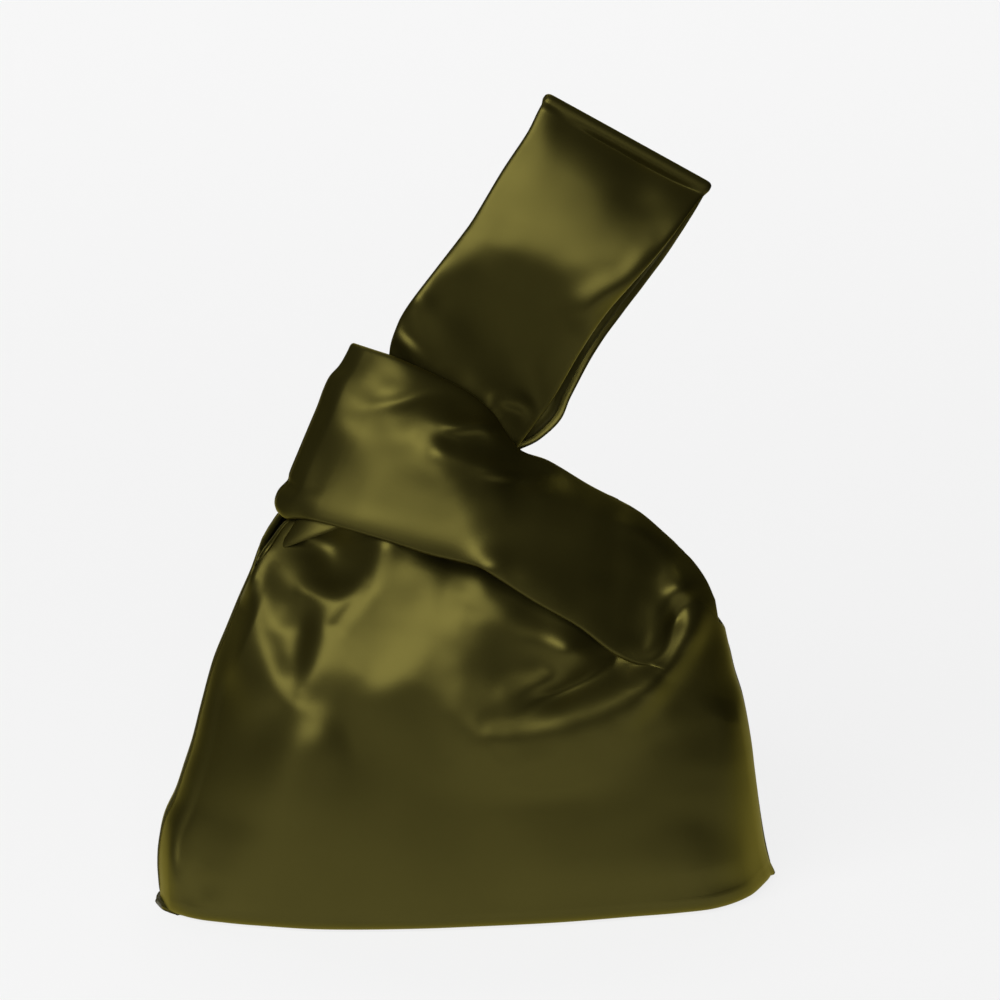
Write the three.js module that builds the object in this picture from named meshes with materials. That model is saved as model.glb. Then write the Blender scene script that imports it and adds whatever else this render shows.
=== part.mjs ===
// Knot bag in heavy satin: a padded pouch whose right shoulder runs out into a short strap loop.
// The long strap handle rises from the left shoulder, is gathered, and passes up through that loop.
// Millimetres, Z up, front towards -Y. The origin is the middle of the base, on the ground.

import * as THREE from "three";
import { mergeVertices } from "three/addons/utils/BufferGeometryUtils.js";

// Driving sizes
const bagWidth = 262;
const bagDepth = 117;
const bagHeight = 345;
const strapWidth = 82;
const outerCloth = 1.2;
const liningCloth = 0.8;
const seamCloth = 0.7;
const sewnGap = 0.3;
const handSpace = 12;
const heelRadius = 9;
const seamAllowance = 7;

// The handle leans to the right of upright, and swings from there to either side
const handleLean = THREE.MathUtils.degToRad(32.5);
const tiltLimit = THREE.MathUtils.degToRad(30);

// Sizes that follow from the driving ones
const layerBuild = outerCloth + seamCloth + liningCloth + 2 * sewnGap;
const creaseRadius = layerBuild + 2 * sewnGap;
const topFoldRadius = layerBuild + 3 * sewnGap;
const halfGap = sewnGap / 2;
const throatHalfWidth = 0.44 * strapWidth;
const neckRadius = throatHalfWidth + 2 * sewnGap;
const hornDrop = throatHalfWidth * Math.sin(tiltLimit) + 2 * sewnGap;
const creaseHeight = 0.22 * strapWidth;
const throatHalfDepth = creaseRadius + outerCloth;

// Directions along the handle and across it, in the upright plane of the bag
const alongHandle = new THREE.Vector3(Math.sin(handleLean), 0, Math.cos(handleLean));
const acrossHandle = new THREE.Vector3(Math.cos(handleLean), 0, -Math.sin(handleLean));

// The middle of the throat, where the handle leaves the knot and swings from side to side
const throatCentre = new THREE.Vector3(0, 0, 0.64 * bagHeight);

// Length of the handle above its crease, so that its upper left corner ends at the bag's height
const cornerRise = acrossHandle.z * strapWidth * -0.5;
const handleLength = (bagHeight - throatCentre.z - cornerRise) / alongHandle.z - creaseHeight;

const satin = { color: 0x5a5422, roughness: 0.36, metalness: 0 };
const satinLining = { color: 0x4c471d, roughness: 0.45, metalness: 0 };
const seamTape = { color: 0x3a3616, roughness: 0.8, metalness: 0 };

// Pouch outline: height as a share of the bag's height, then left, right and depth shares.
const leftSideShares = [
  [0, -0.5], [0.075, -0.502], [0.135, -0.475], [0.2, -0.447],
  [0.3, -0.408], [0.377, -0.368], [0.44, -0.325], [0.465, -0.284], [0.487, -0.258],
];
const rightSideShares = [
  [0, 0.5], [0.04, 0.487], [0.16, 0.467], [0.228, 0.449],
  [0.262, 0.432], [0.284, 0.4135], [0.35, 0.391], [0.487, 0.3],
];
const depthShares = [
  [0, 0.475], [0.045, 0.48], [0.174, 0.5], [0.29, 0.468],
  [0.377, 0.405], [0.43, 0.352], [0.487, 0.3],
];
const squarenessShares = [[0, 2.3], [0.29, 2.15], [0.377, 2.25], [0.487, 2.4]];
const pouchTopLeftShare = 0.487;
const pouchTopRightShare = 0.352;
const cornerShare = 0.012;

// Strap loop outline: place along the loop from its left fold to the right side, then x and z shares
const loopUpperShares = [
  [0, -0.183, 0.696], [0.2, -0.07, 0.633], [0.45, 0.084, 0.548],
  [0.7, 0.24, 0.484], [0.86, 0.335, 0.424], [1, 0.407, 0.351],
];
const cutShare = 0.45;
const cutLengthShare = 0.133;
const loopLowerLeftShares = [[0, -0.302, 0.475], [0.2, -0.155, 0.47]];
const loopLowerRightShares = [
  [0.7, 0.19, 0.345], [0.85, 0.3, 0.303], [1, 0.429, 0.281],
];
const loopSquareness = 2.6;
const loopLowerDepthShares = [
  [0, 0.33], [0.1, 0.375], [0.2, 0.4], [0.3, 0.41],
  [0.45, 0.425], [0.7, 0.478], [0.85, 0.455], [1, 0.42],
];
const loopUpperDepthShares = [
  [0, 0.12], [0.2, 0.14], [0.45, 0.14], [0.7, 0.135], [1, 0.12],
];
const loopRoundness = 2.2;

// Handle outline
const handleFootShare = 0.9;
const backSkewShare = 0.07;

// A smooth function through rows of (place, value ...)
function through(rows, column = 1) {
  const slopeAt = (i) => {
    const a = rows[Math.max(0, i - 1)];
    const b = rows[Math.min(rows.length - 1, i + 1)];
    return (b[column] - a[column]) / (b[0] - a[0]);
  };
  return (place) => {
    const last = rows.length - 1;
    const at = Math.min(Math.max(place, rows[0][0]), rows[last][0]);
    let i = 0;
    while (i < last - 1 && at > rows[i + 1][0]) i += 1;
    const span = rows[i + 1][0] - rows[i][0];
    const t = (at - rows[i][0]) / span;
    const rest = 1 - t;
    const start = rows[i][column] * (1 + 2 * t) * rest * rest;
    const end = rows[i + 1][column] * (3 - 2 * t) * t * t;
    const bend = span * t * rest * (slopeAt(i) * rest - slopeAt(i + 1) * t);
    return start + end + bend;
  };
}

const mix = THREE.MathUtils.lerp;
const ease = (t) => t * t * (3 - 2 * t);

// A closed sheet of cloth between two surfaces that share the same two parameters
function sheet(name, steps, outside, inside, look) {
  const [across, up] = steps;
  const points = [];
  for (const surface of [outside, inside]) {
    for (let j = 0; j <= up; j += 1) {
      for (let i = 0; i <= across; i += 1) {
        points.push(surface(i / across, j / up));
      }
    }
  }
  const layer = (across + 1) * (up + 1);
  const at = (i, j, k) => k * layer + j * (across + 1) + i;
  const faces = [];
  const quad = (a, b, c, d) => faces.push(a, b, c, a, c, d);
  for (let j = 0; j < up; j += 1) {
    for (let i = 0; i < across; i += 1) {
      quad(at(i, j, 0), at(i + 1, j, 0), at(i + 1, j + 1, 0), at(i, j + 1, 0));
      quad(at(i, j, 1), at(i, j + 1, 1), at(i + 1, j + 1, 1), at(i + 1, j, 1));
    }
  }
  for (let i = 0; i < across; i += 1) {
    quad(at(i, 0, 1), at(i + 1, 0, 1), at(i + 1, 0, 0), at(i, 0, 0));
    quad(at(i, up, 0), at(i + 1, up, 0), at(i + 1, up, 1), at(i, up, 1));
  }
  for (let j = 0; j < up; j += 1) {
    quad(at(0, j, 0), at(0, j + 1, 0), at(0, j + 1, 1), at(0, j, 1));
    quad(at(across, j, 1), at(across, j + 1, 1), at(across, j + 1, 0), at(across, j, 0));
  }
  return solid(name, points, faces, look);
}

// A mesh whose faces are turned outwards
function solid(name, points, faces, look) {
  let volume = 0;
  for (let k = 0; k < faces.length; k += 3) {
    const [a, b, c] = [points[faces[k]], points[faces[k + 1]], points[faces[k + 2]]];
    volume += a.dot(b.clone().cross(c));
  }
  if (volume < 0) faces.reverse();
  const shape = new THREE.BufferGeometry().setFromPoints(points);
  shape.setIndex(faces);
  const joined = mergeVertices(shape);
  joined.computeVertexNormals();
  const mesh = new THREE.Mesh(joined, new THREE.MeshStandardMaterial(look));
  mesh.name = name;
  return mesh;
}

// Pouch

const leftSide = through(leftSideShares);
const rightSide = through(rightSideShares);
const halfDepth = through(depthShares);
const squareness = through(squarenessShares);

// Height of the pouch's upper edge at a place from its left side to its right
function pouchTop(place) {
  return bagHeight * mix(pouchTopLeftShare, pouchTopRightShare, Math.pow(place, 1.5));
}

// A point of the pouch at an angle from the left side and a height, moved in by an inset
function wallPoint(front, angle, height, inset, tuck, spread) {
  const share = height / bagHeight;
  const power = 2 / squareness(share);
  const bow = Math.pow(Math.abs(Math.sin(angle)), power);
  const reach = Math.sign(Math.cos(angle)) * Math.pow(Math.abs(Math.cos(angle)), power);
  const left = leftSide(share) * bagWidth + inset;
  const right = rightSide(share) * bagWidth - inset;
  const depth = halfDepth(share) * bagDepth - inset - tuck - halfGap;
  const y = front * (halfGap + depth * bow * spread);
  return new THREE.Vector3(mix(left, right, (1 - reach) / 2), y, height);
}

const panelColumns = 20;
const panelRows = 17;
const baseShare = 0.16;
const heelShare = 0.3;
const firstAngle = Math.asin(Math.pow(cornerShare, 1.1));

// Angle from the left side at a step across a panel, with closer steps beside the seams
function panelAngle(across) {
  const crowding = 0.6;
  const even = across - (crowding * Math.sin(2 * Math.PI * across)) / (2 * Math.PI);
  return mix(firstAngle, Math.PI - firstAngle, even);
}

// Outside or inside surface of one pouch panel: its half of the base, the heel and the wall
function pouchSurface(front, inset) {
  return (across, rise) => {
    const angle = panelAngle(across);
    const place = (1 - Math.cos(angle)) / 2;
    if (rise <= baseShare) {
      return wallPoint(front, angle, inset, inset, heelRadius, rise / baseShare);
    }
    if (rise <= heelShare) {
      const turn = ((rise - baseShare) / (heelShare - baseShare)) * 0.5 * Math.PI;
      const lift = (heelRadius - inset) * (1 - Math.cos(turn));
      const tuck = heelRadius * (1 - Math.sin(turn));
      return wallPoint(front, angle, inset + lift, inset, tuck, 1);
    }
    const up = (rise - heelShare) / (1 - heelShare);
    const height = mix(heelRadius, pouchTop(place), up);
    return wallPoint(front, angle, height, inset, 0, 1);
  };
}

const sewnInset = outerCloth + sewnGap;
const liningInset = layerBuild - liningCloth;

function pouchPanel(name, front, inset, thickness, look) {
  const steps = [panelColumns, panelRows];
  return sheet(name, steps, pouchSurface(front, inset), pouchSurface(front, inset + thickness), look);
}

// Angle of a pressed seam's step from the seam line, where the panels have their own steps too
function seamAngle(swing, first, second) {
  const step = Math.abs(swing);
  return step <= 0.5 ? mix(0, first, 2 * step) : mix(first, second, 2 * step - 1);
}

// Pressed seam allowance along one side, between the outer cloth and the lining
function sideSeam(name, onLeft) {
  const firstRow = 7;
  const lastRow = panelRows - 1;
  const surface = (inset) => (across, rise) => {
    const swing = 2 * across - 1;
    const turn = seamAngle(swing, firstAngle, panelAngle(1 / panelColumns));
    const angle = onLeft ? turn : Math.PI - turn;
    const row = mix(firstRow, lastRow, rise) / panelRows;
    const up = (row - heelShare) / (1 - heelShare);
    const height = mix(heelRadius, pouchTop((1 - Math.cos(angle)) / 2), up);
    const point = wallPoint(Math.sign(swing), angle, height, inset, 0, 1);
    if (swing === 0) point.y = 0;
    return point;
  };
  const steps = [4, lastRow - firstRow];
  return sheet(name, steps, surface(sewnInset), surface(sewnInset + seamCloth), seamTape);
}

// Pressed seam allowance along the middle of the base
function baseSeam(name) {
  const half = 0.5 * bagWidth - 2 * seamAllowance;
  const surface = (inset) => (across, rise) =>
    new THREE.Vector3(mix(-half, half, across), mix(-seamAllowance, seamAllowance, rise), inset);
  return sheet(name, [1, 1], surface(sewnInset), surface(sewnInset + seamCloth), seamTape);
}

// Knot loop: the short strap that leaves the right shoulder, wraps the neck and comes back

const upperX = through(loopUpperShares, 1);
const upperZ = through(loopUpperShares, 2);
const cutUpper = new THREE.Vector3(upperX(cutShare) * bagWidth, 0, upperZ(cutShare) * bagHeight);
const cutLower = cutUpper.clone().addScaledVector(alongHandle, -cutLengthShare * bagHeight);
const loopLowerShares = [
  ...loopLowerLeftShares,
  [cutShare, cutLower.x / bagWidth, cutLower.z / bagHeight],
  ...loopLowerRightShares,
];
const lowerX = through(loopLowerShares, 1);
const lowerZ = through(loopLowerShares, 2);
const lowerDepth = through(loopLowerDepthShares);
const upperDepth = through(loopUpperDepthShares);

// A point of the loop at an angle from its left fold and a share of its width, upwards
function loopPoint(front, angle, rise, inset) {
  const power = 2 / loopSquareness;
  const bow = Math.pow(Math.abs(Math.sin(angle)), power);
  const reach = Math.sign(Math.cos(angle)) * Math.pow(Math.abs(Math.cos(angle)), power);
  const place = (1 - reach) / 2;
  const x = mix(lowerX(place), upperX(place), rise) * bagWidth;
  const z = mix(lowerZ(place), upperZ(place), rise) * bagHeight;
  const swell = 1 - Math.pow(rise, loopRoundness);
  const depth = mix(upperDepth(place), lowerDepth(place), swell) * bagDepth - inset;
  const point = new THREE.Vector3(x, front * (halfGap + depth * bow), z);
  const flat = 0.2;
  const draw = Math.sign(reach) * Math.max(0, Math.abs(reach) - flat) / (1 - flat);
  return point.addScaledVector(acrossHandle, inset * draw);
}

const loopColumns = 12;
const loopRows = 8;
const loopPower = loopSquareness / 2;
const cutAngle = Math.acos(Math.pow(1 - 2 * cutShare, loopPower));
const foldAngle = Math.asin(Math.pow(cornerShare, loopPower));

// One half of the moving loop, from its left fold to the cut
function loopSurface(front, inset) {
  return (across, rise) => {
    const point = loopPoint(front, mix(foldAngle, cutAngle, across), rise, inset);
    return across < 1 ? point : point.addScaledVector(acrossHandle, -sewnGap);
  };
}

// One half of the shoulder, from the cut to the right side of the pouch
function shoulderSurface(front, inset) {
  return (across, rise) => {
    const point = loopPoint(front, mix(cutAngle, Math.PI - foldAngle, across), rise, inset);
    return across > 0 ? point : point.addScaledVector(acrossHandle, sewnGap);
  };
}

function strapSheet(name, surface, front, inset, thickness, steps, look) {
  return sheet(name, steps, surface(front, inset), surface(front, inset + thickness), look);
}

// Pressed seam inside the loop's left fold, where its front and back halves are joined
function loopSeam(name) {
  const surface = (inset) => (across, rise) => {
    const swing = 2 * across - 1;
    const turn = seamAngle(swing, foldAngle, mix(foldAngle, cutAngle, 1 / loopColumns));
    const row = mix(1, loopRows - 1, rise) / loopRows;
    const point = loopPoint(Math.sign(swing), turn, row, inset);
    if (swing === 0) point.y = 0;
    return point;
  };
  return sheet(name, [4, loopRows - 2], surface(sewnInset), surface(sewnInset + seamCloth), seamTape);
}

// Neck: the left shoulder, gathered from the pouch's upper edge to a hollow round the throat

function throatPoint(across, along, y) {
  const point = throatCentre.clone().addScaledVector(acrossHandle, across);
  point.addScaledVector(alongHandle, along);
  point.y = y;
  return point;
}

function neckSurface(front, inset) {
  const firstPlace = 0.05;
  const lastPlace = 0.5;
  const shoulderWidth = 0.93 * throatHalfWidth;
  return (across, rise) => {
    const angle = mix(Math.acos(1 - 2 * firstPlace), Math.acos(1 - 2 * lastPlace), across);
    const place = (1 - Math.cos(angle)) / 2;
    const foot = wallPoint(front, angle, pouchTop(place), inset, 0, 1);
    foot.z += 2 * sewnGap;
    const side = mix(-shoulderWidth, shoulderWidth, across);
    const hollow = Math.sqrt(neckRadius * neckRadius - side * side);
    const crown = throatPoint(side, -Math.max(hornDrop, hollow), 0);
    crown.y = front * (throatHalfDepth - inset);
    const point = foot.clone().lerp(crown, rise);
    point.y = mix(foot.y, crown.y, ease(rise));
    return point;
  };
}

// Throat: the part of the handle that turns in the knot, round below and straight above
function throatSurface(front, inset) {
  return (across, rise) => {
    const side = mix(-throatHalfWidth, throatHalfWidth, across);
    const round = Math.sqrt(throatHalfWidth * throatHalfWidth - side * side);
    const crease = creaseHeight - creaseRadius;
    const depth = mix(throatHalfDepth, creaseRadius - sewnGap, ease(rise)) - inset;
    return throatPoint(side, mix(-round, crease, rise), front * depth);
  };
}

// Handle: two strips joined at the top fold, with room for a hand between them

function strapHalfWidth(along) {
  const share = Math.min(Math.max(along / handleLength, 0), 1);
  return 0.5 * strapWidth * mix(handleFootShare, 1, ease(share));
}

// Distance of the outer face from the middle plane
function strapDepth(along) {
  const straight = handleLength - topFoldRadius;
  const share = Math.min(Math.max(along / straight, 0), 1);
  const swell = 0.5 * handSpace + layerBuild - creaseRadius;
  return mix(creaseRadius, topFoldRadius, share) + swell * Math.sin(Math.PI * share);
}

// A point of the strap, where along is counted from the crease
function strapPoint(front, across, along, depth) {
  const share = Math.min(Math.max(along / handleLength, 0), 1);
  const skew = front > 0 ? backSkewShare * strapWidth * Math.sin(Math.PI * share) : 0;
  const side = across * strapHalfWidth(along) + skew;
  return throatPoint(side, creaseHeight + along, front * Math.max(halfGap, depth));
}

// Lengthwise path of one strip at an inset: crease, straight run, then half of the top fold
function strapSurface(front, inset, filled) {
  const creaseShare = 0.14;
  const foldShare = 0.84;
  const firstTurn = 0.36;
  const straight = handleLength - topFoldRadius;
  return (across, rise) => {
    const side = mix(-1, 1, across);
    if (filled && rise < creaseShare) {
      const turn = mix(firstTurn, 0.5 * Math.PI, rise / creaseShare);
      const depth = inset > 0 ? 0 : creaseRadius * Math.sin(turn);
      return strapPoint(front, side, -creaseRadius * Math.cos(turn), depth);
    }
    if (rise <= foldShare) {
      const start = filled ? 0 : creaseRadius + sewnGap;
      const share = filled ? (rise - creaseShare) / (foldShare - creaseShare) : rise / foldShare;
      const along = mix(start, straight, share);
      const solidFoot = filled && inset > 0 && along < 0.5 * creaseRadius;
      return strapPoint(front, side, along, solidFoot ? 0 : strapDepth(along) - inset);
    }
    const turn = ((rise - foldShare) / (1 - foldShare)) * 0.5 * Math.PI;
    const radius = topFoldRadius - inset;
    return strapPoint(front, side, straight + radius * Math.sin(turn), radius * Math.cos(turn));
  };
}

function handleStrip(name, front) {
  const outside = strapSurface(front, 0, true);
  const inside = strapSurface(front, outerCloth, true);
  return sheet(name, [6, 25], outside, inside, satin);
}

function handleLining(name, front) {
  const outside = strapSurface(front, liningInset, false);
  const inside = strapSurface(front, layerBuild, false);
  return sheet(name, [4, 19], outside, inside, satinLining);
}

// Pressed seam inside the top fold, where the handle's two strips are joined
function handleSeam(name) {
  const straight = handleLength - topFoldRadius;
  const legShare = 0.3;
  const surface = (inset) => (across, rise) => {
    const front = rise < 0.5 ? -1 : 1;
    const reach = 1 - Math.abs(2 * rise - 1);
    const side = mix(-0.94, 0.94, across);
    if (reach < legShare) {
      const along = straight - seamAllowance * (1 - reach / legShare);
      return strapPoint(front, side, along, strapDepth(along) - inset);
    }
    const turn = ((reach - legShare) / (1 - legShare)) * 0.5 * Math.PI;
    const radius = topFoldRadius - inset;
    const point = strapPoint(front, side, straight + radius * Math.sin(turn), radius * Math.cos(turn));
    if (rise === 0.5) point.y = 0;
    return point;
  };
  return sheet(name, [4, 16], surface(sewnInset), surface(sewnInset + seamCloth), seamTape);
}

// Assembly

const pouch = new THREE.Group();
const knotLoop = new THREE.Group();
const handleBase = new THREE.Group();
const handleLoop = new THREE.Group();
const sides = [["front", -1], ["back", 1]];
const loopSteps = [loopColumns, loopRows];

for (const [word, front] of sides) {
  pouch.add(pouchPanel(`pouch_${word}_outer`, front, 0, outerCloth, satin));
  pouch.add(pouchPanel(`pouch_${word}_lining`, front, liningInset, liningCloth, satinLining));
  pouch.add(strapSheet(`neck_${word}`, neckSurface, front, 0, outerCloth, [12, 6], satin));
  pouch.add(strapSheet(`shoulder_${word}_outer`, shoulderSurface, front, 0, outerCloth, loopSteps, satin));
  pouch.add(strapSheet(`shoulder_${word}_lining`, shoulderSurface, front, liningInset, liningCloth,
    loopSteps, satinLining));
  knotLoop.add(strapSheet(`knot_loop_${word}_outer`, loopSurface, front, 0, outerCloth, loopSteps, satin));
  knotLoop.add(strapSheet(`knot_loop_${word}_lining`, loopSurface, front, liningInset, liningCloth,
    loopSteps, satinLining));
  handleBase.add(strapSheet(`handle_throat_${word}`, throatSurface, front, 0, outerCloth, [12, 4], satin));
  handleLoop.add(handleStrip(`handle_${word}_outer`, front));
  handleLoop.add(handleLining(`handle_${word}_lining`, front));
}
pouch.add(sideSeam("side_seam_left", true));
pouch.add(sideSeam("side_seam_right", false));
pouch.add(baseSeam("base_seam"));
knotLoop.add(loopSeam("knot_loop_seam"));
handleLoop.add(handleSeam("handle_seam"));

const bag = new THREE.Group();
bag.add(pouch, knotLoop, handleBase, handleLoop);

export default bag;
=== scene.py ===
import bpy
import math
import numpy as np
from mathutils import Matrix, Vector

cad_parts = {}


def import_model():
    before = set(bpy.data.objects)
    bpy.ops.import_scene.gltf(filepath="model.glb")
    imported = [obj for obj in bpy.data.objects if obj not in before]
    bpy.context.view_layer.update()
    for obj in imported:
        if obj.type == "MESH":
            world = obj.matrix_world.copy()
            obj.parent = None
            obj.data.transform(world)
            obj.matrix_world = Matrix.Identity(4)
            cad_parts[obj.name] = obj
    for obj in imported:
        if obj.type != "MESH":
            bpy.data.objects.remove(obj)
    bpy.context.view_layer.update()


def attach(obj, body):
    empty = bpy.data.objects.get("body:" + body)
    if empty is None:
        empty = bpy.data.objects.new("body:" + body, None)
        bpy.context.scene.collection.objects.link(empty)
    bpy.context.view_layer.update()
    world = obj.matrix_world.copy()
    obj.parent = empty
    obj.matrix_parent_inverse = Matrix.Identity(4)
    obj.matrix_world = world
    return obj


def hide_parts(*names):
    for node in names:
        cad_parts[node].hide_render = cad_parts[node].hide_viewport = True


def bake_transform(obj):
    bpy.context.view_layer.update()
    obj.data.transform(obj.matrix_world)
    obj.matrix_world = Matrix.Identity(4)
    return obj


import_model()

MM = 0.001
MIRROR = np.array([1.0, -1.0, 1.0])     # front to back
OUTER, INNER, STRAP = 0.0014, 0.0006, 0.0022    # thickness of the pouch's cloth, linings and padded straps

# ---------------------------------------------------------------- camera
AZ, EL = math.radians(-8.0), math.radians(15.0)
DIST, VIEW_W, IMG = 2.6, 0.4214, 1000.0
SENSOR = 36.0
RIGHT = np.array([math.cos(AZ), math.sin(AZ), 0.0])
FWD_H = np.array([-math.sin(AZ), math.cos(AZ), 0.0])
UP = np.array([FWD_H[0] * math.sin(EL), FWD_H[1] * math.sin(EL), math.cos(EL)])
FWD = np.array([FWD_H[0] * math.cos(EL), FWD_H[1] * math.cos(EL), -math.sin(EL)])
TARGET = RIGHT * 0.0141 + UP * 0.1637
EYE = TARGET - FWD * DIST


def screen(p):
    """World points (..., 3) to pixels (..., 2) of the 1000 x 1000 photograph."""
    rel = p.reshape(-1, 3) - EYE
    k = DIST / (rel @ FWD) / VIEW_W * IMG
    q = np.stack([IMG / 2 + (rel @ RIGHT) * k, IMG / 2 - (rel @ UP) * k], -1)
    return q.reshape(p.shape[:-1] + (2,))


def world(q, y):
    """The points at depth y, one depth or one for each pixel, that show at pixels q (..., 2)."""
    off = (q - IMG / 2) * VIEW_W / IMG
    ray = FWD * DIST + RIGHT * off[..., :1] - UP * off[..., 1:]
    k = (np.asarray(y)[..., None] - EYE[1]) / ray[..., 1:2]
    return EYE + ray * k


def put(name, data):
    """A new object, in the scene."""
    ob = bpy.data.objects.new(name, data)
    bpy.context.scene.collection.objects.link(ob)
    return ob


def make_camera():
    cam = bpy.data.cameras.new("camera")
    cam.sensor_width = SENSOR
    cam.lens = SENSOR * DIST / VIEW_W
    cam.clip_end = 50.0
    ob = put("camera", cam)
    ob.matrix_world = Matrix([(RIGHT[k], UP[k], -FWD[k], EYE[k]) for k in range(3)] + [(0, 0, 0, 1)])
    bpy.context.scene.camera = ob


# ---------------------------------------------------------------- curves
def hermite(keys, values):
    """Smooth function through keys and values (values may be vectors)."""
    keys = np.asarray(keys, float)
    values = np.asarray(values, float)
    slopes = np.zeros_like(values)
    for i in range(len(keys)):
        a, b = max(0, i - 1), min(len(keys) - 1, i + 1)
        slopes[i] = (values[b] - values[a]) / (keys[b] - keys[a])

    def at(t):
        t = np.clip(np.asarray(t, float), keys[0], keys[-1])
        i = np.clip(np.searchsorted(keys, t, side="right") - 1, 0, len(keys) - 2)
        span = keys[i + 1] - keys[i]
        u = (t - keys[i]) / span
        if values.ndim > 1:
            u = u[..., None]
            span = span[..., None]
        r = 1 - u
        return (values[i] * (1 + 2 * u) * r * r + values[i + 1] * (3 - 2 * u) * u * u
                + span * u * r * (slopes[i] * r - slopes[i + 1] * u))
    return at


def table(rows):
    """Smooth function from a table of (key, value, ...)."""
    a = np.array(rows, float)
    return hermite(a[:, 0], a[:, 1:])


def path(points, n):
    """A smooth polyline of n points through (x, y, ...); what follows x and y goes along with them."""
    pts = np.asarray(points, float)
    seg = np.hypot(*np.diff(pts[:, :2], axis=0).T)
    keys = np.concatenate([[0], np.cumsum(seg)]) / seg.sum()
    return hermite(keys, pts)(np.linspace(0, 1, n))


def nearest(x, y, line):
    """Distance of pixels from a line, their side (+ right of travel), and the place along it in points."""
    best, side, place = np.full(x.shape, 1e9), np.zeros(x.shape), np.zeros(x.shape)
    for k in range(len(line) - 1):
        ax, ay = line[k, :2]
        dx, dy = line[k + 1, :2] - line[k, :2]
        t = np.clip(((x - ax) * dx + (y - ay) * dy) / max(dx * dx + dy * dy, 1e-9), 0, 1)
        far = (x - ax - t * dx) ** 2 + (y - ay - t * dy) ** 2
        near = far < best
        best = np.where(near, far, best)
        side = np.where(near, dx * (y - ay) - dy * (x - ax), side)
        place = np.where(near, k + t, place)
    return np.sqrt(best), np.sign(side), place


def smooth(a, b, x):
    t = np.clip((x - a) / (b - a), 0, 1)
    return t * t * (3 - 2 * t)


def arch(u, k):
    """A superellipse of power k, from 1 at u = 0 down to 0 at u = 1."""
    return np.power(np.clip(1 - np.power(u, k), 0, 1), 1 / k)


def blurred(values, width):
    """Running average along a row, twice, with its ends held."""
    kernel = np.ones(2 * width + 1) / (2 * width + 1)
    for _ in range(2):
        values = np.convolve(np.pad(values, width, mode="reflect", reflect_type="odd"), kernel, mode="valid")
    return values


# ---------------------------------------------------------------- meshes
pieces = {}


def grid_normals(p):
    """Unit normals of a grid of points (rows, columns, 3)."""
    n = np.cross(np.gradient(p, axis=1), np.gradient(p, axis=0))
    return n / np.maximum(np.linalg.norm(n, axis=-1, keepdims=True), 1e-12)


def make_mesh(name, verts, faces, material, uv):
    mesh = bpy.data.meshes.new(name)
    mesh.from_pydata(verts.tolist(), [], faces)
    mesh.validate(clean_customdata=False)
    mesh.update()
    mesh.polygons.foreach_set("use_smooth", [True] * len(mesh.polygons))
    mesh.materials.append(material)
    layer = mesh.uv_layers.new(name="UVMap")
    idx = np.empty(len(mesh.loops), dtype=np.int32)
    mesh.loops.foreach_get("vertex_index", idx)
    layer.data.foreach_set("uv", uv[idx].astype(np.float32).ravel())
    pieces[name] = put(name, mesh)


def cloth(name, p, thickness, material, edge, uv_size, rounding=4, thin=1.0):
    """A sheet with thickness round a grid of points; its free edges are drawn in, as turned seams are.

    edge says which borders taper: first row, last row, first column, last column."""
    rows, cols = p.shape[:2]
    taper = np.ones((rows, cols))
    steps = np.sqrt(np.clip(1 - (1 - np.arange(rounding) / rounding) ** 2, 0.02, 1))
    for k, s in enumerate(steps):
        for on, border in zip(edge, (taper[k], taper[-1 - k], taper[:, k], taper[:, -1 - k])):
            if on:
                np.minimum(border, s, out=border)
    half = grid_normals(p) * (0.5 * thickness * (taper * thin)[..., None])
    verts = np.concatenate([(p + half).reshape(-1, 3), (p - half).reshape(-1, 3)])
    count = rows * cols
    faces = []
    for j in range(rows - 1):
        for a in range(j * cols, (j + 1) * cols - 1):
            b, c, d = a + 1, a + cols + 1, a + cols
            faces.append((a, b, c, d))
            faces.append((count + a, count + d, count + c, count + b))
    for a in range(cols - 1):
        faces.append((a + 1, a, count + a, count + a + 1))
        a += (rows - 1) * cols
        faces.append((a, a + 1, count + a + 1, count + a))
    for a in range(0, (rows - 1) * cols, cols):
        b = a + cols
        faces.append((a, b, count + b, count + a))
        a, b = a + cols - 1, b + cols - 1
        faces.append((b, a, count + a, count + b))
    uu, vv = np.meshgrid(np.linspace(0, uv_size[0], cols), np.linspace(0, uv_size[1], rows))
    uv = np.stack([uu.ravel(), vv.ravel()], -1)
    make_mesh(name, verts, faces, material, np.concatenate([uv, uv]))


def seam_lip(name, line, out, wide, proud, sides=10):
    """A pressed seam: a narrow rounded lip along a line, wide across and proud along the out direction."""
    along = np.gradient(line, axis=0)
    along /= np.linalg.norm(along, axis=-1, keepdims=True)
    out = out - along * np.sum(out * along, axis=-1, keepdims=True)
    out /= np.linalg.norm(out, axis=-1, keepdims=True)
    across = np.cross(along, out)
    n = len(line)
    size = np.sqrt(np.clip(1 - np.power(np.abs(np.linspace(-1, 1, n)), 24), 0.05, 1))[:, None]
    rings = []
    for k in range(sides):
        a = 2 * math.pi * k / sides
        rings.append(line + out * (proud * math.cos(a)) * size + across * (wide * math.sin(a)) * size)
    verts = np.stack(rings, 1).reshape(-1, 3)
    faces = []
    for j in range(n - 1):
        for k in range(sides):
            a, b = j * sides + k, j * sides + (k + 1) % sides
            faces.append((a, b, b + sides, a + sides))
    faces.append(tuple(range(sides))[::-1])
    faces.append(tuple((n - 1) * sides + k for k in range(sides)))
    lengths = np.concatenate([[0], np.cumsum(np.linalg.norm(np.diff(line, axis=0), axis=1))])
    uv = np.stack([np.tile(np.arange(sides) / sides * 0.004, n), np.repeat(lengths, sides)], -1)
    make_mesh(name, verts, faces, SEAM, uv)


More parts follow.
